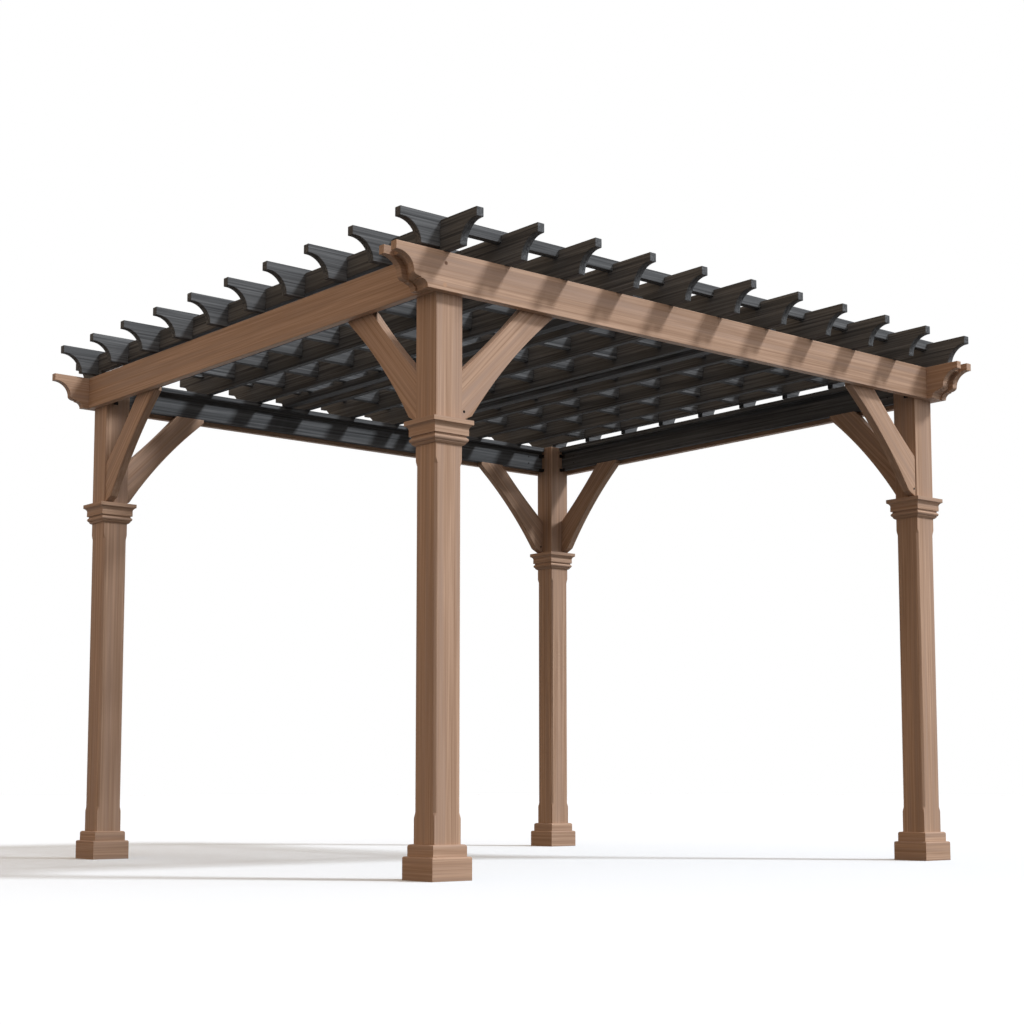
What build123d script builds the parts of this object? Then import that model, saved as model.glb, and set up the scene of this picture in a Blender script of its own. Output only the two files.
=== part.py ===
"""Wooden pergola: four stained posts, scroll-ended beams, waisted knee braces and a dark roof of
half-lapped rafters with coved tails.

Millimetres, +Z up.  +X runs along the front beam, the front looks towards -Y, and the origin lies on
the ground under the middle of the overall outline.
"""

import os

from build123d import *

# Posts
POST_SPACING_X = 3230.0
POST_SPACING_Y = 2950.0
POST_SIDE = 140.0
ARRIS_CHAMFER = 11.0
CHAMFER_RUN_OUT = 26.0
CHAMFER_ABOVE_PLINTH = 104.0
CHAMFER_BELOW_COLLAR = 56.0

# Two-tier plinth round each post foot
PLINTH_SIDE = 206.0
PLINTH_HEIGHT = 98.0
PLINTH_BEVEL = 8.0
PLINTH_CAP_SIDE = 176.0
PLINTH_CAP_HEIGHT = 50.0
PLINTH_CAP_BEVEL = 11.0

# Moulded collar round each post
COLLAR_HEIGHT = 112.0
COLLAR_PROJECTION = 36.0
COLLAR_FASCIA_DEPTH_share = 0.18
COLLAR_COVE_END_DEPTH_share = 0.42
COLLAR_COVE_END_REACH_share = 0.58
COLLAR_COVE_SAG_share = 0.17
COLLAR_BAND_END_DEPTH_share = 0.60
COLLAR_GROOVE_REACH_share = 0.36
COLLAR_GROOVE_END_DEPTH_share = 0.68
COLLAR_BEAD_END_DEPTH_share = 0.86
COLLAR_BEAD_BULGE_share = 0.20
COLLAR_FOOT_REACH_share = 0.10

# Beams: an outer board on the posts' outer faces, an inner board let into the posts
BEAM_UNDERSIDE = 2455.0
BEAM_DEPTH = 170.0
BEAM_THICKNESS = 38.0
INNER_THICKNESS = 36.0
INNER_SETBACK = 8.0
INNER_RISE = 20.0
LEDGER_DEPTH = 26.0
LEDGER_PROJECTION = 26.0

# Scroll-cut beam ends
SCROLL_PROJECTION = 200.0
SCROLL_CHEEK_THICKNESS = 34.0
SCROLL_SPACER_THICKNESS = 50.0
SCROLL_SPACER_RECESS = 26.0
SCROLL_TIP_DEPTH_share = 0.21
SCROLL_COVE_START_REACH_share = 0.95
SCROLL_COVE_END_REACH_share = 0.55
SCROLL_COVE_END_DEPTH_share = 0.64
SCROLL_FILLET_REACH_share = 0.49
SCROLL_FILLET_DEPTH_share = 0.68
SCROLL_OVOLO_END_REACH_share = 0.34
SCROLL_OVOLO_END_DEPTH_share = 0.85
SCROLL_STEP_REACH_share = 0.30
SCROLL_STEP_DEPTH_share = 0.92
SCROLL_HEEL_REACH_share = 0.16

# Knee braces, measured from the post's side face and from the beam's underside
BRACE_THICKNESS = 45.0
BRACE_SETBACK = 5.0
BRACE_REACH = 519.0
BRACE_DROP = 534.0
BRACE_UPPER_REACH = 345.0
BRACE_UPPER_DROP = 318.0
BRACE_NOSE_REACH_share = 0.875
BRACE_NOSE_DROP_share = 0.107
BRACE_HEEL_REACH_share = 0.112
BRACE_HEEL_DROP_share = 0.945
BRACE_UPPER_SAG_share = 0.04
BRACE_LOWER_SAG_share = 0.035

# Rafter grid: between the beams some undersides are cut up above the beams' top by a relief
RAFTER_THICKNESS = 38.0
RAFTER_DEPTH = 138.0
RAFTER_RELIEF = 40.0
EDGE_RELIEF = 105.0
CROSS_RISE = 20.0
MAIN_TAIL = 222.0
CROSS_TAIL = 165.0
TAIL_TIP_DEPTH = 41.0
TAIL_TIP_FLAT = 12.0
LAP_CLEARANCE = 1.0
LAP_DEPTH_share = 0.5
MAIN_RAFTER_COUNT = 11
CROSS_RAFTER_COUNT = 10

# Support rails between the ledger strips and the cross rafters
RAIL_WIDTH = 64.0
RAIL_SPACING = 930.0

# Cuts run past their faces by this much
OVERRUN = 5.0

# Levels and lines that several pieces share
BEAM_TOP = BEAM_UNDERSIDE + BEAM_DEPTH
INNER_UNDERSIDE = BEAM_UNDERSIDE + INNER_RISE
PLINTH_TOP = PLINTH_HEIGHT + PLINTH_CAP_HEIGHT
COLLAR_TOP = BEAM_UNDERSIDE - BRACE_DROP
COLLAR_SIDE = POST_SIDE + 2 * COLLAR_PROJECTION
NOTCH_DEPTH = INNER_SETBACK + INNER_THICKNESS
POST_X = POST_SPACING_X / 2
POST_Y = POST_SPACING_Y / 2
POST_FACE_X = POST_X + POST_SIDE / 2
POST_FACE_Y = POST_Y + POST_SIDE / 2
BEAM_FACE_X = POST_FACE_X + BEAM_THICKNESS
BEAM_FACE_Y = POST_FACE_Y + BEAM_THICKNESS
INNER_OUT_X = POST_FACE_X - INNER_SETBACK
INNER_OUT_Y = POST_FACE_Y - INNER_SETBACK
INNER_IN_X = POST_FACE_X - NOTCH_DEPTH
INNER_IN_Y = POST_FACE_Y - NOTCH_DEPTH
MAIN_EDGE_X = INNER_OUT_X - INNER_THICKNESS / 2
CROSS_EDGE_Y = (BEAM_FACE_Y + INNER_IN_Y) / 2
MAIN_PITCH = 2 * MAIN_EDGE_X / (MAIN_RAFTER_COUNT - 1)
CROSS_PITCH = 2 * CROSS_EDGE_Y / (CROSS_RAFTER_COUNT - 1)
RELIEVED_UNDERSIDE = BEAM_TOP + RAFTER_RELIEF
LAP_LEVEL = RAFTER_DEPTH * LAP_DEPTH_share
# The scrolls reach further on the left than the rafter tails do on the right
LEFT_REACH = max(SCROLL_PROJECTION, CROSS_TAIL)
MIDDLE_SHIFT = (LEFT_REACH - CROSS_TAIL) / 2
MAIN_PLACES = [i * MAIN_PITCH - MAIN_EDGE_X for i in range(MAIN_RAFTER_COUNT)]
CROSS_PLACES = [j * CROSS_PITCH - CROSS_EDGE_Y for j in range(CROSS_RAFTER_COUNT)]
# The first and last cross rafters are slim above the beams and lie in shallower laps
CROSS_RELIEFS = [EDGE_RELIEF] + [RAFTER_RELIEF] * (CROSS_RAFTER_COUNT - 2) + [EDGE_RELIEF]
CROSS_LAPS = [max(relief, LAP_LEVEL) for relief in CROSS_RELIEFS]

CORNERS = {
    "front_left": (-1, -1),
    "front_right": (1, -1),
    "rear_left": (-1, 1),
    "rear_right": (1, 1),
}

# Upright drawing planes: the first axis runs along the board, the second is up
ALONG_X = Plane.XZ
ALONG_Y = Plane.YZ


def slab(low, high):
    """A plain board between two opposite corners."""
    size = [b - a for a, b in zip(low, high)]
    middle = [(a + b) / 2 for a, b in zip(low, high)]
    return Pos(*middle) * Box(*size)


def square_block(side, bottom, height):
    """A square prism standing on the level of its bottom."""
    return slab((-side / 2, -side / 2, bottom), (side / 2, side / 2, bottom + height))


def mitred_block(half_outline, width):
    """A moulding run round a square: the same silhouette seen from the front and from the side.

    half_outline is the wire of the right-hand half, from the axis at the foot to the axis at the top.
    """
    face = make_face(half_outline + mirror(half_outline, about=Plane.YZ))
    across = extrude(face, amount=width / 2, both=True)
    return (ALONG_X * across) & (ALONG_Y * across)


def ellipse_quarter(start, end, level_first):
    """A quarter of an upright ellipse that leaves start level, or else plumb, and turns to end."""
    centre = (start[0], end[1]) if level_first else (end[0], start[1])
    reach = abs(end[0] - start[0])
    drop = abs(end[1] - start[1])
    right = max(start[0], end[0]) > centre[0]
    above = max(start[1], end[1]) > centre[1]
    first = {(True, True): 0, (False, True): 90, (False, False): 180, (True, False): 270}[(right, above)]
    return EllipticalCenterArc(centre, reach, drop, start_angle=first, arc_size=90)


def chamfer_cutter():
    """The wedge that takes off one arris, with a sloping run-out at both ends.

    It is drawn on the upright plane through the arris: the first axis points into the post.
    """
    low = PLINTH_TOP + CHAMFER_ABOVE_PLINTH
    high = COLLAR_TOP - COLLAR_HEIGHT - CHAMFER_BELOW_COLLAR
    depth = ARRIS_CHAMFER / 2**0.5
    outline = Polyline(
        (-depth, low - CHAMFER_RUN_OUT),
        (depth, low + CHAMFER_RUN_OUT),
        (depth, high - CHAMFER_RUN_OUT),
        (-depth, high + CHAMFER_RUN_OUT),
        close=True,
    )
    return extrude(make_face(outline), amount=2 * ARRIS_CHAMFER, both=True)


def post(side_x, side_y):
    """A square post with stopped chamfers and a head notched for the two inner boards."""
    body = square_block(POST_SIDE, 0, BEAM_TOP)
    half = POST_SIDE / 2
    cutter = chamfer_cutter()
    for corner_x, corner_y in CORNERS.values():
        arris = Plane(
            origin=(corner_x * half, corner_y * half, 0),
            x_dir=(-corner_x, -corner_y, 0),
            z_dir=(-corner_y, corner_x, 0),
        )
        body -= arris * cutter
    outer = half + OVERRUN
    above = BEAM_TOP + OVERRUN
    shoulder = half - NOTCH_DEPTH
    x_low, x_high = sorted((side_x * shoulder, side_x * outer))
    y_low, y_high = sorted((side_y * shoulder, side_y * outer))
    body -= slab((x_low, -outer, INNER_UNDERSIDE), (x_high, outer, above))
    body -= slab((-outer, y_low, INNER_UNDERSIDE), (outer, y_high, above))
    return Pos(side_x * POST_X, side_y * POST_Y) * body


def plinth():
    """The two-tier base trim, bevelled on both upper edges, with the post's square through it."""
    base = PLINTH_SIDE / 2
    cap = PLINTH_CAP_SIDE / 2
    outline = Polyline(
        (0, 0),
        (base, 0),
        (base, PLINTH_HEIGHT - PLINTH_BEVEL),
        (base - PLINTH_BEVEL, PLINTH_HEIGHT),
        (cap, PLINTH_HEIGHT),
        (cap, PLINTH_TOP - PLINTH_CAP_BEVEL),
        (cap - PLINTH_CAP_BEVEL, PLINTH_TOP),
        (0, PLINTH_TOP),
    )
    return mitred_block(outline, PLINTH_SIDE) - square_block(POST_SIDE, 0, PLINTH_TOP)


def collar():
    """The mitred collar: fascia, cove, band, groove, bead and a splayed foot."""
    half = POST_SIDE / 2

    def at(reach_share, depth_share):
        return half + COLLAR_PROJECTION * reach_share, COLLAR_TOP - COLLAR_HEIGHT * depth_share

    fascia = at(1, COLLAR_FASCIA_DEPTH_share)
    cove_end = at(COLLAR_COVE_END_REACH_share, COLLAR_COVE_END_DEPTH_share)
    bead_top = at(COLLAR_GROOVE_REACH_share, COLLAR_GROOVE_END_DEPTH_share)
    bead_end = at(COLLAR_GROOVE_REACH_share, COLLAR_BEAD_END_DEPTH_share)
    cove = SagittaArc(fascia, cove_end, COLLAR_PROJECTION * COLLAR_COVE_SAG_share)
    bead = SagittaArc(bead_top, bead_end, -COLLAR_PROJECTION * COLLAR_BEAD_BULGE_share)
    foot = Polyline(bead_end, at(COLLAR_FOOT_REACH_share, 1), (0, COLLAR_TOP - COLLAR_HEIGHT))
    groove = Polyline(
        cove_end,
        at(COLLAR_COVE_END_REACH_share, COLLAR_BAND_END_DEPTH_share),
        at(COLLAR_GROOVE_REACH_share, COLLAR_BAND_END_DEPTH_share),
        bead_top,
    )
    top = Polyline((0, COLLAR_TOP), at(1, 0), fascia)
    moulding = mitred_block(top + cove + groove + bead + foot, COLLAR_SIDE)
    return moulding - square_block(POST_SIDE, COLLAR_TOP - COLLAR_HEIGHT, COLLAR_HEIGHT)


def scroll_edge(root, recess=0):
    """The scroll-cut end of a beam, as a wire from the top of its root to the foot of its root.

    It reaches out along the first axis from the root: tip, cove, fillet, ovolo, step and heel.
    """
    reach = SCROLL_PROJECTION

    def at(reach_share, depth_share):
        return root + reach * reach_share - recess, BEAM_TOP - BEAM_DEPTH * depth_share

    cove_start = at(SCROLL_COVE_START_REACH_share, SCROLL_TIP_DEPTH_share)
    cove_end = at(SCROLL_COVE_END_REACH_share, SCROLL_COVE_END_DEPTH_share)
    ovolo_start = at(SCROLL_FILLET_REACH_share, SCROLL_FILLET_DEPTH_share)
    ovolo_end = at(SCROLL_OVOLO_END_REACH_share, SCROLL_OVOLO_END_DEPTH_share)
    tip = Polyline((root, BEAM_TOP), at(1, 0), at(1, SCROLL_TIP_DEPTH_share), cove_start)
    cove = ellipse_quarter(cove_start, cove_end, level_first=True)
    fillet = Polyline(cove_end, at(SCROLL_COVE_END_REACH_share, SCROLL_FILLET_DEPTH_share), ovolo_start)
    ovolo = ellipse_quarter(ovolo_start, ovolo_end, level_first=False)
    heel = Polyline(
        ovolo_end,
        at(SCROLL_STEP_REACH_share, SCROLL_OVOLO_END_DEPTH_share),
        at(SCROLL_STEP_REACH_share, SCROLL_STEP_DEPTH_share),
        at(SCROLL_HEEL_REACH_share, SCROLL_STEP_DEPTH_share),
        at(SCROLL_HEEL_REACH_share, 1),
        (root, BEAM_UNDERSIDE),
    )
    return tip + cove + fillet + ovolo + heel


def scroll_face(root, recess=0):
    """The scroll's own face, closed plumb at its root."""
    return make_face(scroll_edge(root, recess) + Line((root, BEAM_UNDERSIDE), (root, BEAM_TOP)))


def plain_face(start, end):
    """The face of a square-cut board as deep as the beams."""
    outline = Polyline(
        (start, BEAM_UNDERSIDE), (end, BEAM_UNDERSIDE), (end, BEAM_TOP), (start, BEAM_TOP), close=True
    )
    return make_face(outline)


def long_outer_beam(side_y):
    """The front or rear outer board: it butts on the right beam and ends in a scroll on the left."""
    tail = mirror(scroll_face(BEAM_FACE_X), about=Plane.YZ)
    face = plain_face(-BEAM_FACE_X, POST_FACE_X) + tail
    board = ALONG_X * extrude(face, amount=BEAM_THICKNESS / 2, both=True)
    return Pos(0, side_y * (POST_FACE_Y + BEAM_THICKNESS / 2)) * board


def right_outer_beam():
    """The right outer board, which runs past both corners and ends in two scrolls."""
    scroll = scroll_face(BEAM_FACE_Y)
    face = plain_face(-BEAM_FACE_Y, BEAM_FACE_Y) + scroll + mirror(scroll, about=Plane.YZ)
    board = ALONG_Y * extrude(face, amount=BEAM_THICKNESS / 2, both=True)
    return Pos(POST_FACE_X + BEAM_THICKNESS / 2) * board


def left_outer_beam():
    """The left outer board, square-cut between the front and rear ones."""
    low = (-BEAM_FACE_X, -POST_FACE_Y, BEAM_UNDERSIDE)
    return slab(low, (-POST_FACE_X, POST_FACE_Y, BEAM_TOP))


def corner_scrolls(thickness, recess, first):
    """One scroll block beside each doubled front corner, its near side at first from the beam's end.

    At the left corner the block stands on the left beam's face, at the right one on the front beam's.
    """
    middle = first + thickness / 2
    left = mirror(scroll_face(BEAM_FACE_X, recess), about=Plane.YZ)
    right = mirror(scroll_face(BEAM_FACE_Y, recess), about=Plane.YZ)
    left_block = ALONG_X * extrude(left, amount=thickness / 2, both=True)
    right_block = ALONG_Y * extrude(right, amount=thickness / 2, both=True)
    return [
        Pos(0, middle - POST_FACE_Y) * left_block,
        Pos(POST_FACE_X - middle) * right_block,
    ]


def long_inner_beam(side_y):
    """The front or rear inner board, let into the post heads."""
    y_low, y_high = sorted((side_y * INNER_IN_Y, side_y * INNER_OUT_Y))
    return slab((-INNER_OUT_X, y_low, INNER_UNDERSIDE), (INNER_OUT_X, y_high, BEAM_TOP))


def side_inner_beam(side_x):
    """The left or right inner board, butted between the long ones."""
    x_low, x_high = sorted((side_x * INNER_IN_X, side_x * INNER_OUT_X))
    return slab((x_low, -INNER_IN_Y, INNER_UNDERSIDE), (x_high, INNER_IN_Y, BEAM_TOP))


def ledger_strips():
    """Four strips along the top inner edge of the inner boards, from post head to post head."""
    x_end = POST_X - POST_SIDE / 2
    y_end = POST_Y - POST_SIDE / 2
    bottom = BEAM_TOP - LEDGER_DEPTH
    strips = []
    for side in (-1, 1):
        y_low, y_high = sorted((side * INNER_IN_Y, side * (INNER_IN_Y - LEDGER_PROJECTION)))
        strips.append(slab((-x_end, y_low, bottom), (x_end, y_high, BEAM_TOP)))
        x_low, x_high = sorted((side * INNER_IN_X, side * (INNER_IN_X - LEDGER_PROJECTION)))
        strips.append(slab((x_low, -y_end, bottom), (x_high, y_end, BEAM_TOP)))
    return strips


def support_rails():
    """Two rails on the front and rear ledger strips, which carry the cross rafters."""
    half = RAIL_WIDTH / 2
    rails = []
    for side in (-1, 1):
        middle = side * RAIL_SPACING / 2
        high = (middle + half, INNER_IN_Y, RELIEVED_UNDERSIDE)
        rails.append(slab((middle - half, -INNER_IN_Y, BEAM_TOP), high))
    return rails


def brace_face():
    """A waisted knee brace: the first axis leads away from the post, the second is up from the beam."""
    drop = BRACE_DROP
    top_inner = (BRACE_UPPER_REACH, INNER_RISE)
    top_outer = (BRACE_REACH, INNER_RISE)
    nose_top = (BRACE_REACH, 0)
    nose = (BRACE_REACH * BRACE_NOSE_REACH_share, -drop * BRACE_NOSE_DROP_share)
    heel = (BRACE_REACH * BRACE_HEEL_REACH_share, -drop * BRACE_HEEL_DROP_share)
    foot = (0, -drop)
    shoulder = (0, -BRACE_UPPER_DROP)
    upper = SagittaArc(shoulder, top_inner, BRACE_UPPER_DROP * BRACE_UPPER_SAG_share)
    lower = SagittaArc(nose, heel, -drop * BRACE_LOWER_SAG_share)
    outline = upper + Polyline(top_inner, top_outer, nose_top, nose) + lower
    return make_face(outline + Polyline(heel, foot, shoulder))


def brace_pair(side_x, side_y):
    """The two braces of one post, each a little behind the post's outer face."""
    board = extrude(brace_face(), amount=BRACE_THICKNESS / 2, both=True)
    inset = BRACE_SETBACK + BRACE_THICKNESS / 2
    start_x = side_x * (POST_X - POST_SIDE / 2)
    start_y = side_y * (POST_Y - POST_SIDE / 2)
    along_x = Plane(
        origin=(start_x, side_y * (POST_FACE_Y - inset), BEAM_UNDERSIDE),
        x_dir=(-side_x, 0, 0),
        z_dir=(0, side_x, 0),
    )
    along_y = Plane(
        origin=(side_x * (POST_FACE_X - inset), start_y, BEAM_UNDERSIDE),
        x_dir=(0, -side_y, 0),
        z_dir=(-side_y, 0, 0),
    )
    return [along_x * board, along_y * board]


def coved_rafter(half_length, seat, relief, laps):
    """A rafter with coved tails, its underside cut up by the relief between its two seats.

    laps gives the place of each crossing and the level from which its lap is cut upwards.
    """
    cove_radius = RAFTER_DEPTH - TAIL_TIP_DEPTH
    cove_start = half_length - TAIL_TIP_FLAT
    foot = cove_start - cove_radius
    under = Line((0, 0), (foot, 0))
    cove = CenterArc((cove_start, 0), cove_radius, start_angle=90, arc_size=90)
    tip = Polyline(
        (cove_start, cove_radius),
        (half_length, cove_radius),
        (half_length, RAFTER_DEPTH),
        (0, RAFTER_DEPTH),
    )
    half_outline = under + cove + tip
    face = make_face(half_outline + mirror(half_outline, about=Plane.YZ))
    if relief > 0:
        face -= Pos(0, (relief - OVERRUN) / 2) * Rectangle(2 * seat, relief + OVERRUN)
    lap = Rectangle(RAFTER_THICKNESS + LAP_CLEARANCE, RAFTER_DEPTH)
    face -= [Pos(place, level + RAFTER_DEPTH / 2) * lap for place, level in laps]
    return extrude(face, amount=RAFTER_THICKNESS / 2, both=True)


def main_rafter(relief):
    """A rafter along Y, seated on the front and rear beams and lapped from above."""
    half_length = BEAM_FACE_Y + MAIN_TAIL
    board = coved_rafter(half_length, INNER_IN_Y, relief, zip(CROSS_PLACES, CROSS_LAPS))
    return Pos(0, 0, BEAM_TOP) * (ALONG_Y * board)


def cross_rafter(relief, lap):
    """A rafter along X, lapped from below to sit down over the main rafters and stand a little proud."""
    half_length = BEAM_FACE_X + CROSS_TAIL
    laps = [(place, lap - CROSS_RISE - RAFTER_DEPTH) for place in MAIN_PLACES]
    board = coved_rafter(half_length, INNER_IN_X, relief - CROSS_RISE, laps)
    return Pos(0, 0, BEAM_TOP + CROSS_RISE) * (ALONG_X * board)


def round_posts(block):
    """One copy of a block on each post's axis."""
    return [Pos(side_x * POST_X, side_y * POST_Y) * block for side_x, side_y in CORNERS.values()]


def pergola():
    """Every node's name with the list of its pieces, round the middle of the four posts."""
    nodes = {}
    for corner, sides in CORNERS.items():
        nodes[f"{corner}_post"] = [post(*sides)]
        nodes[f"{corner}_braces"] = brace_pair(*sides)
    nodes["post_plinths"] = round_posts(plinth())
    nodes["post_collars"] = round_posts(collar())
    nodes["front_outer_beam"] = [long_outer_beam(-1)]
    nodes["rear_outer_beam"] = [long_outer_beam(1)]
    nodes["left_outer_beam"] = [left_outer_beam()]
    nodes["right_outer_beam"] = [right_outer_beam()]
    nodes["front_inner_beam"] = [long_inner_beam(-1)]
    nodes["rear_inner_beam"] = [long_inner_beam(1)]
    nodes["left_inner_beam"] = [side_inner_beam(-1)]
    nodes["right_inner_beam"] = [side_inner_beam(1)]
    nodes["scroll_spacers"] = corner_scrolls(SCROLL_SPACER_THICKNESS, SCROLL_SPACER_RECESS, 0)
    nodes["scroll_cheeks"] = corner_scrolls(SCROLL_CHEEK_THICKNESS, 0, SCROLL_SPACER_THICKNESS)
    nodes["ledger_strips"] = ledger_strips()
    nodes["support_rails"] = support_rails()
    edge_main = main_rafter(RAFTER_RELIEF)
    inner_main = main_rafter(0)
    for number, place in enumerate(MAIN_PLACES, start=1):
        main = edge_main if number in (1, MAIN_RAFTER_COUNT) else inner_main
        nodes[f"main_rafter_{number:02d}"] = [Pos(place) * main]
    crossings = zip(CROSS_PLACES, CROSS_RELIEFS, CROSS_LAPS)
    for number, (place, relief, lap) in enumerate(crossings, start=1):
        nodes[f"cross_rafter_{number:02d}"] = [Pos(0, place) * cross_rafter(relief, lap)]
    return nodes


os.makedirs("parts", exist_ok=True)
for name, pieces in pergola().items():
    placed = [Pos(MIDDLE_SHIFT) * piece for piece in pieces]
    export_step(Compound(children=placed) if len(placed) > 1 else placed[0], f"parts/{name}.step")
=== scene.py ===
"""The wooden pergola dressed for the camera: stained grain that follows every board, eased edges, mitred
mouldings round the posts, waisted braces and the small fastenings.

Metres, in the part's own frame: +X along the front beam, -Y towards the front, +Z up.
"""

import math

import bpy
import numpy as np
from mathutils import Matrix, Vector


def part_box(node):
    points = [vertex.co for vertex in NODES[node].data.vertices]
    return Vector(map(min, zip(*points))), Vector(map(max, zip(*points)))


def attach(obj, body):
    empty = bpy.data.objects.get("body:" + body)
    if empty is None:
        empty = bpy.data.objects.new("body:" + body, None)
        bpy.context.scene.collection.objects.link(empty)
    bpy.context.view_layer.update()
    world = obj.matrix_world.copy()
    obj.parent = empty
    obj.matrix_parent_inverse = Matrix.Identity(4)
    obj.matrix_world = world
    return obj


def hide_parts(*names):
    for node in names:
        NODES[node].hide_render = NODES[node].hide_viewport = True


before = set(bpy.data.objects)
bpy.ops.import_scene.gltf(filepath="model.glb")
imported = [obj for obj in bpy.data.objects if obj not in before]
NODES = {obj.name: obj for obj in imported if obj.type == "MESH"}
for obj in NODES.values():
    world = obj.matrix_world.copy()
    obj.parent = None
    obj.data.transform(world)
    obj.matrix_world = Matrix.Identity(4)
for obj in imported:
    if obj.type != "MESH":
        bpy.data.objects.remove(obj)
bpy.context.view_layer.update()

# Camera, from the lines of the posts and beams in the photograph
CAMERA_PLACE = (-6.149, -7.380, 0.385)
CAMERA_YAW = math.radians(40.0)
CAMERA_PITCH = math.radians(5.82)
CAMERA_LENS_MM = 62.9
CAMERA_SENSOR_MM = 36.0
CAMERA_SHIFT = 0.09

# Light: a soft key from the front right, and a surround that is paler on the key's side
KEY_FROM = (0.64, -0.77, 1.0)
KEY_STRENGTH = 2.9
KEY_SPREAD = math.radians(9.0)
SURROUND_FROM = (0.65, -0.74, 0.17)
SURROUND_PALE = (1.30, 1.31, 1.33)
SURROUND_DEEP = (0.657, 0.421, 0.229)
SURROUND_FADE = (-0.3, 0.9)
WHITE = (1.0, 1.0, 1.0)
FLOOR_HALF = 60.0
FLOOR_SHOWN = (0.665, 0.73, 0.80)
FLOOR_GLOW = 0.05
FLOOR_BOUNCE = (0.085, 0.080, 0.074)

# Edges that hands and weather have taken the sharpness off
WELD_REACH = 0.00002
FLAT_ANGLE = math.radians(0.5)
EDGE_ANGLE = math.radians(32.0)
BOARD_EASING = 0.0028
SCROLL_EASING = 0.002
EASING_STEPS = 2

# The frame's own places, about the middle of the four posts, which lies MIDDLE_SHIFT along +X
CORNERS = {"front_left": (-1, -1), "front_right": (1, -1), "rear_left": (-1, 1), "rear_right": (1, 1)}
POST_HALF = 0.070
POST_FACE_X = 1.685
POST_FACE_Y = 1.545
BEAM_UNDERSIDE = 2.455
BEAM_DEPTH = 0.170
BEAM_TOP = BEAM_UNDERSIDE + BEAM_DEPTH
BEAM_THICKNESS = 0.038
INNER_FACE_X = 1.641
INNER_FACE_Y = 1.501
MIDDLE_SHIFT = 0.0175
UP = np.array([0.0, 0.0, 1.0])

# Scroll-cut beam ends: reach and depth of corners and curves, as shares of projection and beam depth
SCROLL_PROJECTION = 0.200
SCROLL_TIP = [(1.0, 0.0), (1.0, 0.22)]
SCROLL_COVE = {"centre": (0.965, 0.66), "size": (0.425, 0.44), "turn": (90, 180)}
SCROLL_OVOLO = {"centre": (0.36, 0.66), "size": (0.18, 0.12), "turn": (0, -90)}
SCROLL_FILLET = (0.36, 0.81)
SCROLL_HOLLOW = {"centre": (0.345, 0.985), "size": (0.165, 0.175), "turn": (90, 180)}
SCROLL_HEEL = (0.18, 1.0)
SPACER_THICKNESS = 0.050
SPACER_PROJECTION = 0.148
CHEEK_THICKNESS = 0.034
SCROLL_STEPS = 16

# Plinths: half width, bottom, top and rounding of each tier
PLINTH_TIERS = [(0.103, 0.0, 0.098, 0.009), (0.088, 0.098, 0.148, 0.012)]
PLINTH_ARRIS = 0.0015
PLINTH_BACK_ARRIS = 0.0004

# Collars: reach from the post's face and depth below the top, as shares of projection and height.
# A curve is its start, its end and its sag as a share of the projection.
COLLAR_TOP = 1.921
COLLAR_HEIGHT = 0.112
COLLAR_PROJECTION = 0.036
COLLAR_COVE = [(1.0, 0.17), (0.58, 0.41), -0.17]
COLLAR_BAND = [(0.58, 0.585), (0.36, 0.585)]
COLLAR_BEAD = [(0.36, 0.65), (0.42, 0.83), 0.17]
COLLAR_QUIRK = (0.30, 0.84)
COLLAR_FOOT = [(0.37, 0.855), (0.07, 0.955), 0.03]
COLLAR_CURVE_STEPS = 8
COLLAR_ARRIS = 0.0006

# Braces: corners of the outline from the post's side face and the beam's underside
BRACE_THICKNESS = 0.045
BRACE_SETBACK = 0.005
BRACE_EASING = 0.003
BRACE_SHOULDER = (0.0, -0.318)
BRACE_TOP_INNER = (0.345, 0.020)
BRACE_TOP_OUTER = (0.519, 0.020)
BRACE_NOSE_TOP = (0.519, 0.0)
BRACE_NOSE = (0.454, -0.057)
BRACE_HEEL = (0.058, -0.505)
BRACE_FOOT = (0.0, -0.534)
BRACE_UPPER_SAG = -0.008
BRACE_LOWER_SAG = -0.0187
BRACE_CURVE_STEPS = 24

# Fastenings
PLUG_PLACE = (0.014, -0.491)
PLUG_RADIUS = 0.0062
PLUG_RISE = 0.0012
SCREW_RADIUS = 0.0048
SCREW_RISE = 0.0016
SCREW_LEVELS = (2.515, 2.560)
SCREW_FROM_POST = 0.115
STUD_SIDES = 16
STUD_PROFILE = [(1.0, -2.0), (1.0, 0.35), (0.86, 0.85), (0.55, 1.0)]
CLEAT_LEG = 0.024
CLEAT_PLATE = 0.004
CLEAT_HEIGHT = 0.020
CLEAT_LEVELS = (2.466, 2.560)
CLEAT_ARRIS = 0.0008

# Stains: colours of the pale wood, the dark lines and the broad streaks, and the surface
CEDAR = {
    "pale": (0.470, 0.319, 0.230),
    "deep": (0.280, 0.173, 0.111),
    "streak": (0.322, 0.222, 0.170),
    "line_depth": 0.0002,
    "roughness": 0.6,
    "gloss": 0.25,
}
CHARCOAL = {
    "pale": (0.165, 0.176, 0.189),
    "deep": (0.041, 0.044, 0.0485),
    "streak": (0.091, 0.098, 0.106),
    "line_depth": 0.0003,
    "roughness": 0.6,
    "gloss": 0.03,
}
DARK_METAL = {"colour": (0.014, 0.011, 0.009), "roughness": 0.6, "gloss": 0.1}
KNOT_BROWN = (0.10, 0.045, 0.022)
KNOT_PALE = (0.40, 0.245, 0.155)
KNOT_CORE = 0.55
BEAM_KNOTS = [
    ((-1.646, -1.583, 2.574), 0.011, KNOT_BROWN),
    ((-1.651, -1.583, 2.479), 0.013, KNOT_PALE),
]

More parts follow.
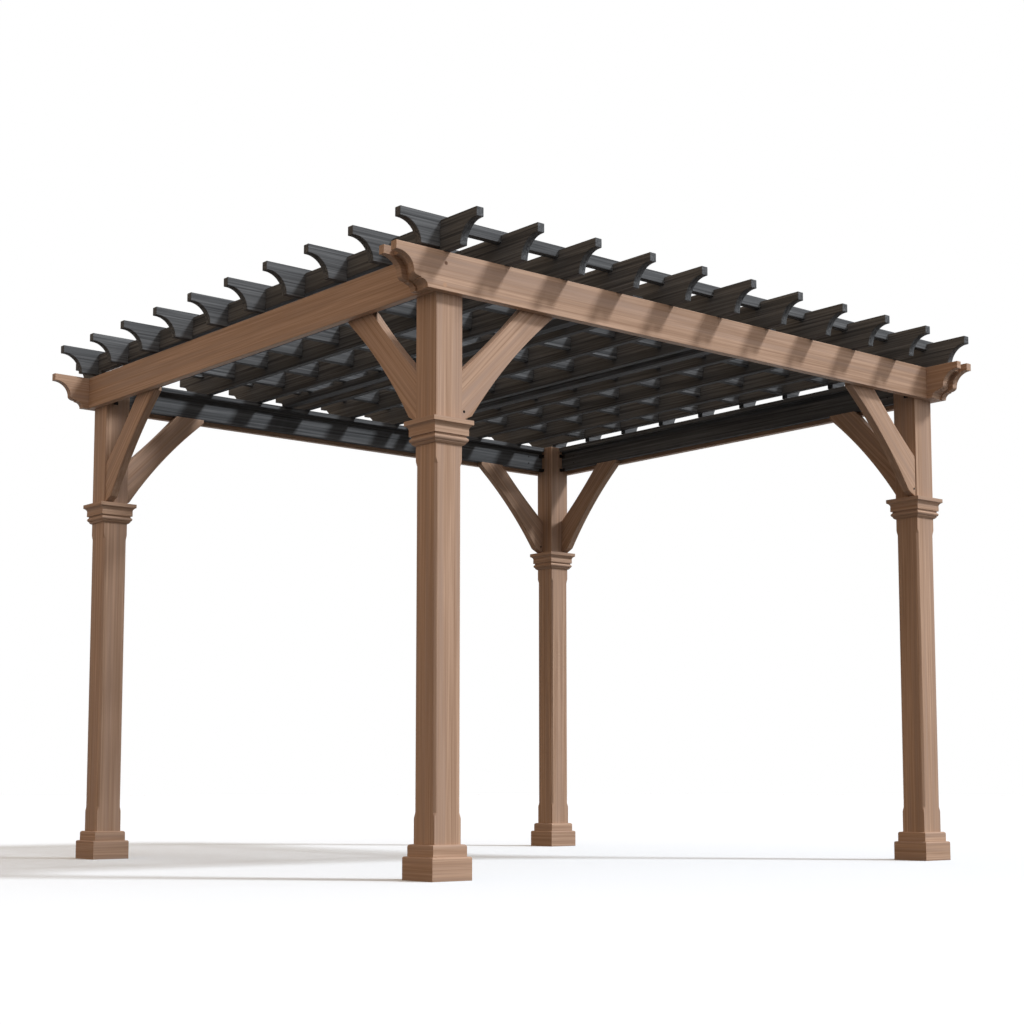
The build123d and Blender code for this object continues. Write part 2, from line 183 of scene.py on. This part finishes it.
# Grain: scales along and across the board, detail and roughness of each noise, and the span that shows
GRAIN_LINES = {"scales": (3.5, 420.0), "detail": 2.0, "roughness": 0.5, "span": (0.46, 0.90)}
GRAIN_BANDS = {"scales": (1.1, 95.0), "detail": 3.0, "roughness": 0.6, "span": (0.34, 0.66)}
GRAIN_STREAKS = {"scales": (0.6, 32.0), "detail": 2.0, "roughness": 0.5, "span": (0.45, 0.72)}
LINE_RELIEF = 0.6

# Steps through the grain from one length to the next, so that no two are alike
LENGTH_GRAIN_STEP = (2.3, 0.37, 0.71)
TIER_GRAIN_STEP = 5.1
BRACE_GRAIN_STEP = 2.3
BRACE_PAIR_STEP = 1.1


class Nodes:
    """A node tree, with short calls that add nodes and join them."""

    def __init__(self, owner):
        owner.use_nodes = True
        self.tree = owner.node_tree
        self.tree.nodes.clear()

    def add(self, kind, inputs=None, **settings):
        """One node: settings first, then each input, set to a value or joined to a socket."""
        node = self.tree.nodes.new(kind)
        for key, value in settings.items():
            setattr(node, key, value)
        for key, value in (inputs or {}).items():
            if isinstance(value, bpy.types.NodeSocket):
                self.tree.links.new(value, node.inputs[key])
            else:
                node.inputs[key].default_value = value
        return node

    def vector(self, operation, first, second):
        """Vector arithmetic on two places, as the node that does it."""
        return self.add("ShaderNodeVectorMath", {0: first, 1: second}, operation=operation)

    def noise(self, place, detail, roughness):
        """Noise of one unit's grain at a scaled place."""
        inputs = {"Vector": place, "Scale": 1.0, "Detail": detail, "Roughness": roughness}
        return self.add("ShaderNodeTexNoise", inputs).outputs[0]

    def spread(self, value, low, high):
        """A value stretched so that low becomes 0 and high becomes 1."""
        inputs = {"Value": value, "From Min": low, "From Max": high}
        return self.add("ShaderNodeMapRange", inputs, clamp=True).outputs[0]

    def blend(self, factor, first, second):
        """A colour between two colours."""
        node = self.add("ShaderNodeMix", {0: factor, 6: first, 7: second}, data_type="RGBA")
        return node.outputs[2]

    def seen(self):
        """1 for the rays that show the surroundings themselves and 0 for those that light the wood."""
        path = self.add("ShaderNodeLightPath")
        camera_or_glossy = self.add(
            "ShaderNodeMath",
            {0: path.outputs["Is Camera Ray"], 1: path.outputs["Is Glossy Ray"]},
            operation="MAXIMUM",
        )
        return self.add(
            "ShaderNodeMath",
            {0: camera_or_glossy.outputs[0], 1: path.outputs["Is Transmission Ray"]},
            operation="MAXIMUM",
        ).outputs[0]


def colour(rgb):
    """A colour with full cover."""
    return (*rgb, 1.0)


def stained_wood(name, stain, axis, knots=()):
    """Stained timber with its grain along the named axes of the frame, or along the piece's own grain.

    Fine lines, growth bands and broad streaks are noises drawn out along the grain, and each knot is a
    round patch about its place.
    """
    finish = bpy.data.materials.new(name)
    nodes = Nodes(finish)
    if axis == "own":
        place = nodes.add("ShaderNodeAttribute", attribute_name="grain").outputs["Vector"]
        along_axes = "X"
    else:
        place = nodes.add("ShaderNodeTexCoord").outputs["Object"]
        along_axes = axis

    def drawn_out(grain):
        """One noise, with the place scaled a little along the grain and much across it."""
        along, across = grain["scales"]
        scales = [along if letter in along_axes else across for letter in "XYZ"]
        stretched = nodes.vector("MULTIPLY", place, scales).outputs[0]
        return nodes.noise(stretched, grain["detail"], grain["roughness"])

    pale, deep, streak = colour(stain["pale"]), colour(stain["deep"]), colour(stain["streak"])
    lines = drawn_out(GRAIN_LINES)
    bands = drawn_out(GRAIN_BANDS)
    streaks = drawn_out(GRAIN_STREAKS)
    wood = nodes.blend(nodes.spread(bands, *GRAIN_BANDS["span"]), pale, deep)
    wood = nodes.blend(nodes.spread(streaks, *GRAIN_STREAKS["span"]), wood, streak)
    wood = nodes.blend(nodes.spread(lines, *GRAIN_LINES["span"]), wood, deep)
    for knot_place, radius, knot_colour in knots:
        apart = nodes.vector("DISTANCE", place, knot_place).outputs["Value"]
        wood = nodes.blend(nodes.spread(apart, KNOT_CORE * radius, radius), colour(knot_colour), wood)
    relief = {"Height": lines, "Distance": stain["line_depth"], "Strength": LINE_RELIEF}
    bump = nodes.add("ShaderNodeBump", relief)
    shader = nodes.add(
        "ShaderNodeBsdfPrincipled",
        {
            "Base Color": wood,
            "Roughness": stain["roughness"],
            "Specular IOR Level": stain["gloss"],
            "Normal": bump.outputs[0],
        },
    )
    nodes.add("ShaderNodeOutputMaterial", {"Surface": shader.outputs[0]})
    return finish


def dark_metal():
    """Blackened steel for plugs, screws and cleats."""
    finish = bpy.data.materials.new("dark_metal")
    nodes = Nodes(finish)
    shader = nodes.add(
        "ShaderNodeBsdfPrincipled",
        {
            "Base Color": colour(DARK_METAL["colour"]),
            "Roughness": DARK_METAL["roughness"],
            "Specular IOR Level": DARK_METAL["gloss"],
        },
    )
    nodes.add("ShaderNodeOutputMaterial", {"Surface": shader.outputs[0]})
    return finish


def ease_edges(piece):
    """Merges the facets into whole faces and takes the sharpness off the edges."""
    weld = piece.modifiers.new("weld", "WELD")
    weld.merge_threshold = WELD_REACH
    flatten = piece.modifiers.new("whole_faces", "DECIMATE")
    flatten.decimate_type = "DISSOLVE"
    flatten.angle_limit = FLAT_ANGLE
    ease = piece.modifiers.new("eased_edges", "BEVEL")
    ease.width = BOARD_EASING
    ease.segments = EASING_STEPS
    ease.limit_method = "ANGLE"
    ease.angle_limit = EDGE_ANGLE


def dress_boards(words, finish):
    """Gives the boards whose names hold one of the words their finish and eased edges."""
    for node, board in NODES.items():
        if any(word in node for word in words):
            board.data.materials[0] = finish
            ease_edges(board)


def skin(rings):
    """Closed lengths through rings of points, rings[length, station, around, xyz].

    Each ring runs anticlockwise seen against the way the stations go. Quads join every ring to the next
    one, and the first and last rings are faces themselves.
    """
    lengths, stations, around = rings.shape[:3]
    index = np.arange(lengths * stations * around).reshape(lengths, stations, around)
    turned = np.roll(index, -1, axis=2)
    quads = np.stack([index[:, :-1], turned[:, :-1], turned[:, 1:], index[:, 1:]], axis=-1)
    ends = np.concatenate([index[:, 0, ::-1], index[:, -1]])
    return rings.reshape(-1, 3), quads.reshape(-1, 4).tolist() + ends.tolist()


def dressed_piece(name, rings, finish, grain=None, stands_for=()):
    """A piece of closed lengths that rides on the frame, with its grain kept on its points."""
    places, faces = skin(rings)
    mesh = bpy.data.meshes.new(name)
    mesh.from_pydata(places.tolist(), [], faces)
    mesh.materials.append(finish)
    if grain is not None:
        run = mesh.attributes.new("grain", "FLOAT_VECTOR", "POINT")
        run.data.foreach_set("vector", grain.astype(np.float32).ravel())
    mesh.update()
    piece = bpy.data.objects.new(name, mesh)
    bpy.context.scene.collection.objects.link(piece)
    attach(piece, "root")
    if stands_for:
        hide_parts(*stands_for)


def bowed(start, end, sag, steps):
    """Points from start up to but not at the end: the chord plus a parabola to its left by the sag."""
    start, end = np.array(start, float), np.array(end, float)
    share = np.linspace(0.0, 1.0, steps, endpoint=False)[:, None]
    chord = end - start
    left = np.array([-chord[1], chord[0]]) / np.hypot(*chord)
    return start + share * chord + 4.0 * sag * share * (1.0 - share) * left


def eased_outline(corners, easing):
    """A closed outline with each corner rounded by its easing.

    A corner becomes a parabola that touches its two sides at the easing's distance from the corner.
    """
    corners = np.array(corners, float)
    reach = np.broadcast_to(np.array(easing, float), len(corners))[:, None]
    back = np.roll(corners, 1, axis=0) - corners
    ahead = np.roll(corners, -1, axis=0) - corners
    start = corners + reach * back / np.linalg.norm(back, axis=1, keepdims=True)
    end = corners + reach * ahead / np.linalg.norm(ahead, axis=1, keepdims=True)
    share = np.linspace(0.0, 1.0, 2 * EASING_STEPS + 1)[None, :, None]
    rounded = (1 - share) ** 2 * start[:, None] + 2 * share * (1 - share) * corners[:, None]
    return (rounded + share**2 * end[:, None]).reshape(-1, 2)


def post_axes():
    """The middle of each post on the ground, in the order of the corners."""
    boxes = np.array([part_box(f"{corner}_post") for corner in CORNERS])
    return boxes.mean(axis=1) * (1.0, 1.0, 0.0)


def mitred_round_posts(outline):
    """A moulding's outline carried round every post as four lengths mitred at the corners.

    A point of the outline at reach r and level z gives, on a side that faces n and runs along t, the two
    end points r n - r t + z up and r n + r t + z up. The grain runs along t.
    """
    facing = np.array([(1, 0, 0), (0, 1, 0), (-1, 0, 0), (0, -1, 0)], float)
    along = np.cross(facing, UP)
    reach, level = outline.T
    end = np.array([-1.0, 1.0])
    side = reach[None, None, :, None] * (
        facing[:, None, None, :] + end[None, :, None, None] * along[:, None, None, :]
    )
    side = side + level[:, None] * UP
    rings = (post_axes()[:, None, None, None, :] + side[None]).reshape(-1, 2, len(outline), 3)
    girth = np.concatenate([[0.0], np.cumsum(np.hypot(*np.diff(outline, axis=0).T))])
    run = np.stack(np.broadcast_arrays(end[:, None] * reach, girth, 0.0), axis=-1)
    step = np.arange(len(rings))[:, None, None, None] * np.array(LENGTH_GRAIN_STEP)
    return rings, run + step


def plinth_outline(half, bottom, top, rounding):
    """One tier's section from the post's face: square below, rounded at its upper outer edge."""
    corners = [(POST_HALF, bottom), (half, bottom), (half, top), (POST_HALF, top)]
    return eased_outline(corners, [PLINTH_BACK_ARRIS, PLINTH_ARRIS, rounding, PLINTH_BACK_ARRIS])


def plinths(finish):
    """Both tiers of every plinth, mitred round the posts."""
    tiers = [mitred_round_posts(plinth_outline(*tier)) for tier in PLINTH_TIERS]
    rings = np.concatenate([tier_rings for tier_rings, _ in tiers])
    runs = np.concatenate([run + TIER_GRAIN_STEP * number for number, (_, run) in enumerate(tiers)])
    dressed_piece("mitred_plinths", rings, finish, runs, ["post_plinths"])


def collar_outline():
    """The collar's section: fascia, cove, band, groove, bead, quirk and rounded foot, anticlockwise."""

    def at(share):
        return POST_HALF + COLLAR_PROJECTION * share[0], COLLAR_TOP - COLLAR_HEIGHT * share[1]

    def curve(start, end, sag):
        return bowed(at(start), at(end), sag * COLLAR_PROJECTION, COLLAR_CURVE_STEPS)

    downwards = [
        [at((0, 0)), at((1, 0))],
        curve(*COLLAR_COVE),
        [at(COLLAR_COVE[1]), at(COLLAR_BAND[0]), at(COLLAR_BAND[1])],
        curve(*COLLAR_BEAD),
        [at(COLLAR_BEAD[1]), at(COLLAR_QUIRK)],
        curve(*COLLAR_FOOT),
        [at(COLLAR_FOOT[1]), at((0, COLLAR_FOOT[1][1]))],
    ]
    return eased_outline(np.concatenate(downwards)[::-1], COLLAR_ARRIS)


def collars(finish):
    """The collar of every post, mitred round it."""
    rings, runs = mitred_round_posts(collar_outline())
    dressed_piece("mitred_collars", rings, finish, runs, ["post_collars"])


def brace_outline():
    """A brace's outline, anticlockwise, from its shoulder on the post down round the foot and nose."""
    lower = bowed(BRACE_NOSE, BRACE_HEEL, BRACE_LOWER_SAG, BRACE_CURVE_STEPS)
    upper = bowed(BRACE_SHOULDER, BRACE_TOP_INNER, BRACE_UPPER_SAG, BRACE_CURVE_STEPS)
    top = [BRACE_TOP_INNER, BRACE_TOP_OUTER, BRACE_NOSE_TOP]
    foot = [BRACE_HEEL, BRACE_FOOT]
    return np.concatenate([upper, top, lower, foot])[::-1]


def inset_directions(outline):
    """For each point of an anticlockwise outline, the way out that moves both its edges by one."""
    edge = np.roll(outline, -1, axis=0) - outline
    edge /= np.linalg.norm(edge, axis=1, keepdims=True)
    ahead = np.stack([edge[:, 1], -edge[:, 0]], axis=1)
    back = np.roll(ahead, 1, axis=0)
    return (ahead + back) / (1.0 + (ahead * back).sum(axis=1, keepdims=True))


def eased_board(outline, thickness, easing):
    """A flat board as stations of its outline, each point given along, up and across the board.

    The outline is carried across the thickness: near each face it shrinks by the easing on a quarter
    circle, so a station at angle a lies easing (1 - cos a) inside the face and easing (1 - sin a) smaller.
    """
    angle = np.linspace(0.0, math.pi / 2, EASING_STEPS + 1)
    depth = thickness / 2 - easing * (1.0 - np.cos(angle))
    shrink = easing * (1.0 - np.sin(angle))
    across = np.concatenate([-depth, depth[::-1]])
    shrink = np.concatenate([shrink, shrink[::-1]])
    flat = outline[None] - shrink[:, None, None] * inset_directions(outline)[None]
    return np.concatenate([flat, np.broadcast_to(across[:, None, None], (*flat.shape[:2], 1))], axis=-1)


def stood(board, root, along):
    """A board's points in the frame: its root, plus its own run, height and offset along three axes."""
    return np.array(root, float) + board @ np.stack([along, UP, np.cross(along, UP)])


def braces(finish):
    """The two braces of every post as eased boards, their grain along the diagonal."""
    board = eased_board(brace_outline(), BRACE_THICKNESS, BRACE_EASING)
    reach, rise, across = np.moveaxis(board, -1, 0)
    run = np.stack([(reach + rise) / math.sqrt(2.0), (reach - rise) / math.sqrt(2.0), across], axis=-1)
    middle = POST_HALF - BRACE_SETBACK - BRACE_THICKNESS / 2
    for number, (corner, (side_x, side_y)) in enumerate(CORNERS.items()):
        outward = np.array([(0, side_y, 0), (side_x, 0, 0)], float)
        along = np.array([(-side_x, 0, 0), (0, -side_y, 0)], float)
        roots = post_axes()[number] + POST_HALF * along + middle * outward + BEAM_UNDERSIDE * UP
        rings = np.stack([stood(board, root, way) for root, way in zip(roots, along)])
        run_here = run + BRACE_GRAIN_STEP * number
        runs = np.stack([run_here, run_here + BRACE_PAIR_STEP])
        node = f"{corner}_braces"
        dressed_piece(f"dressed_{node}", rings, finish, runs, [node])


def scroll_edge(root, projection=SCROLL_PROJECTION):
    """A scroll-cut end from the top of its root to its foot: tip, cove, ovolo, fillet, hollow and heel.

    The curves are quarters of ellipses: centre plus half width cos a and half height sin a.
    """

    def at(places):
        reach, depth = np.array(places, float).T
        return np.stack([root + projection * reach, BEAM_TOP - BEAM_DEPTH * depth], axis=1)

    def quarter(curve):
        turn = np.radians(np.linspace(*curve["turn"], SCROLL_STEPS + 1))
        wide, high = curve["size"]
        offset = np.stack([wide * np.cos(turn), -high * np.sin(turn)], axis=1)
        return at(np.array(curve["centre"]) + offset)

    return np.concatenate([
        at([(0.0, 0.0), *SCROLL_TIP]),
        quarter(SCROLL_COVE),
        quarter(SCROLL_OVOLO)[1:],
        at([SCROLL_FILLET]),
        quarter(SCROLL_HOLLOW),
        at([SCROLL_HEEL, (0.0, 1.0)]),
    ])


def scrolled_beams(along_front, along_side):
    """The outer boards with scroll-cut ends: front and rear have one on the left, the right board two."""
    beam_face_x = POST_FACE_X + BEAM_THICKNESS
    beam_face_y = POST_FACE_Y + BEAM_THICKNESS
    butt = [(-POST_FACE_X, BEAM_UNDERSIDE), (-POST_FACE_X, BEAM_TOP)]
    long_board = eased_board(
        np.concatenate([scroll_edge(beam_face_x), butt])[::-1], BEAM_THICKNESS, SCROLL_EASING
    )
    for node, side_y in (("front_outer_beam", -1), ("rear_outer_beam", 1)):
        root = (MIDDLE_SHIFT, side_y * (POST_FACE_Y + BEAM_THICKNESS / 2), 0.0)
        rings = stood(long_board, root, (-1.0, 0.0, 0.0))[None]
        dressed_piece(f"dressed_{node}", rings, along_front, stands_for=[node])
    scroll = scroll_edge(beam_face_y)
    both = np.concatenate([scroll, (scroll * (-1.0, 1.0))[::-1]])[::-1]
    side_board = eased_board(both, BEAM_THICKNESS, SCROLL_EASING)
    root = (MIDDLE_SHIFT + POST_FACE_X + BEAM_THICKNESS / 2, 0.0, 0.0)
    rings = stood(side_board, root, (0.0, -1.0, 0.0))[None]
    node = "right_outer_beam"
    dressed_piece(f"dressed_{node}", rings, along_side, stands_for=[node])


def corner_scrolls(node, thickness, projection, first, finish):
    """One scroll block beside each doubled front corner, its near side at first from the beam's end."""
    middle = first + thickness / 2
    rings = []
    for face, root, along in (
        (POST_FACE_X, (MIDDLE_SHIFT, middle - POST_FACE_Y, 0.0), (-1.0, 0.0, 0.0)),
        (POST_FACE_Y, (MIDDLE_SHIFT + POST_FACE_X - middle, 0.0, 0.0), (0.0, -1.0, 0.0)),
    ):
        outline = scroll_edge(face + BEAM_THICKNESS, projection)[::-1]
        rings.append(stood(eased_board(outline, thickness, SCROLL_EASING), root, along))
    dressed_piece(f"dressed_{node}", np.stack(rings), finish, stands_for=[node])


def studs(name, places, facing, radius, rise, finish):
    """Low round heads: a profile of widths and heights turned about the way each head faces."""
    places, facing = np.array(places, float), np.array(facing, float)
    turn = np.linspace(0.0, 2.0 * math.pi, STUD_SIDES, endpoint=False)
    level = np.cross(UP, facing)
    rising = np.cross(facing, level)
    ring = np.cos(turn)[:, None] * level[:, None] + np.sin(turn)[:, None] * rising[:, None]
    width, height = (np.array(STUD_PROFILE) * (radius, rise)).T
    rings = (
        places[:, None, None]
        + width[None, :, None, None] * ring[:, None]
        + height[None, :, None, None] * facing[:, None, None]
    )
    dressed_piece(name, rings, finish)


def brace_plugs(finish):
    """A dark plug near the foot of every front and rear brace, on its outer and its inner face."""
    outer = POST_HALF - BRACE_SETBACK
    places, facing = [], []
    for axis, (side_x, side_y) in zip(post_axes(), CORNERS.values()):
        foot = axis + (-side_x * (POST_HALF + PLUG_PLACE[0]), 0.0, BEAM_UNDERSIDE + PLUG_PLACE[1])
        for reach, way in ((outer, side_y), (outer - BRACE_THICKNESS, -side_y)):
            places.append(foot + (0.0, side_y * reach, 0.0))
            facing.append((0.0, way, 0.0))
    studs("brace_plugs", places, facing, PLUG_RADIUS, PLUG_RISE, finish)


def board_corners():
    """Where each inner board's face meets a post: the place, the way along the board, the way inwards."""
    for axis, (side_x, side_y) in zip(post_axes(), CORNERS.values()):
        along_x = np.array([-side_x, 0.0, 0.0])
        along_y = np.array([0.0, -side_y, 0.0])
        on_front = np.array([axis[0], side_y * INNER_FACE_Y, 0.0])
        on_side = np.array([side_x * INNER_FACE_X + MIDDLE_SHIFT, axis[1], 0.0])
        yield on_front + POST_HALF * along_x, along_x, along_y
        yield on_side + POST_HALF * along_y, along_y, along_x


def board_screws(finish):
    """A pair of screw heads, one above the other, at both ends of every inner board."""
    places, facing = [], []
    for place, along, inwards in board_corners():
        for level in SCREW_LEVELS:
            places.append(place + SCREW_FROM_POST * along + level * UP)
            facing.append(inwards)
    studs("board_screws", places, facing, SCREW_RADIUS, SCREW_RISE, finish)


def angle_cleats(finish):
    """Two small angle cleats in every corner between a post and an inner board: an L carried upwards."""
    leg, plate = CLEAT_LEG, CLEAT_PLATE
    corners = [(0, 0), (leg, 0), (leg, plate), (plate, plate), (plate, leg), (0, leg)]
    outline = eased_outline(corners, CLEAT_ARRIS)
    rings = []
    for place, along, inwards in board_corners():
        flat = place + outline[:, :1] * along + outline[:, 1:] * inwards
        for bottom in CLEAT_LEVELS:
            ends = [flat + bottom * UP, flat + (bottom + CLEAT_HEIGHT) * UP]
            rings.append(ends if np.cross(along, inwards)[2] > 0 else ends[::-1])
    dressed_piece("angle_cleats", np.array(rings), finish)


def floor():
    """The pale floor, which keeps the shadow and lifts only a little light into the roof."""
    corners = FLOOR_HALF * np.array([(-1, -1, 0), (1, -1, 0), (1, 1, 0), (-1, 1, 0)], float)
    mesh = bpy.data.meshes.new("floor")
    mesh.from_pydata(corners.tolist(), [], [(0, 1, 2, 3)])
    finish = bpy.data.materials.new("pale_floor")
    nodes = Nodes(finish)
    shaded = nodes.add("ShaderNodeBsdfDiffuse", {"Color": colour(FLOOR_SHOWN)})
    white = nodes.add("ShaderNodeEmission", {"Color": colour(WHITE)})
    shown = nodes.add("ShaderNodeMixShader", {0: FLOOR_GLOW, 1: shaded.outputs[0], 2: white.outputs[0]})
    bounce = nodes.add("ShaderNodeBsdfDiffuse", {"Color": colour(FLOOR_BOUNCE)})
    both = nodes.add("ShaderNodeMixShader", {0: nodes.seen(), 1: bounce.outputs[0], 2: shown.outputs[0]})
    nodes.add("ShaderNodeOutputMaterial", {"Surface": both.outputs[0]})
    mesh.materials.append(finish)
    piece = bpy.data.objects.new("floor", mesh)
    bpy.context.scene.collection.objects.link(piece)


def surround():
    """A white surround that, as light, is pale towards the key and deeper and warmer away from it."""
    world = bpy.data.worlds.new("surround")
    nodes = Nodes(world)
    way = nodes.add("ShaderNodeTexCoord").outputs["Generated"]
    towards = nodes.vector("DOT_PRODUCT", way, SURROUND_FROM).outputs["Value"]
    share = nodes.spread(towards, *SURROUND_FADE)
    light = nodes.blend(share, colour(SURROUND_DEEP), colour(SURROUND_PALE))
    shown = nodes.blend(nodes.seen(), light, colour(WHITE))
    background = nodes.add("ShaderNodeBackground", {"Color": shown, "Strength": 1.0})
    nodes.add("ShaderNodeOutputWorld", {"Surface": background.outputs[0]})
    bpy.context.scene.world = world


def key_light():
    """The soft key from the front right."""
    lamp = bpy.data.lights.new("key", "SUN")
    lamp.energy = KEY_STRENGTH
    lamp.angle = KEY_SPREAD
    key = bpy.data.objects.new("key", lamp)
    key.rotation_mode = "QUATERNION"
    key.rotation_quaternion = Vector(KEY_FROM).to_track_quat("Z", "Y")
    bpy.context.scene.collection.objects.link(key)


def camera():
    """The photograph's viewpoint."""
    data = bpy.data.cameras.new("camera")
    data.lens = CAMERA_LENS_MM
    data.sensor_width = CAMERA_SENSOR_MM
    data.shift_y = CAMERA_SHIFT
    viewer = bpy.data.objects.new("camera", data)
    viewer.location = CAMERA_PLACE
    viewer.rotation_euler = (math.pi / 2 + CAMERA_PITCH, 0.0, -CAMERA_YAW)
    bpy.context.scene.collection.objects.link(viewer)
    bpy.context.scene.camera = viewer


cedar_own = stained_wood("cedar_along_own_run", CEDAR, "own")
cedar_x = stained_wood("cedar_along_front", CEDAR, "X", BEAM_KNOTS)
cedar_y = stained_wood("cedar_along_side", CEDAR, "Y")
cedar_level = stained_wood("cedar_level", CEDAR, "XY")
charcoal_x = stained_wood("charcoal_along_front", CHARCOAL, "X")
charcoal_y = stained_wood("charcoal_along_side", CHARCOAL, "Y")
charcoal_level = stained_wood("charcoal_level", CHARCOAL, "XY")
steel = dark_metal()

dress_boards(["_post"], stained_wood("cedar_upright", CEDAR, "Z"))
dress_boards(["left_outer"], cedar_y)
dress_boards(["cross_rafter", "front_inner", "rear_inner"], charcoal_x)
dress_boards(["main_rafter", "left_inner", "right_inner", "rails"], charcoal_y)
dress_boards(["ledger"], charcoal_level)

plinths(cedar_own)
collars(cedar_own)
scrolled_beams(cedar_x, cedar_y)
corner_scrolls("scroll_spacers", SPACER_THICKNESS, SPACER_PROJECTION, 0.0, cedar_level)
corner_scrolls("scroll_cheeks", CHEEK_THICKNESS, SCROLL_PROJECTION, SPACER_THICKNESS, cedar_level)
braces(cedar_own)
brace_plugs(steel)
board_screws(steel)
angle_cleats(steel)

floor()
surround()
key_light()
camera()
bpy.context.scene.view_settings.view_transform = "Standard"
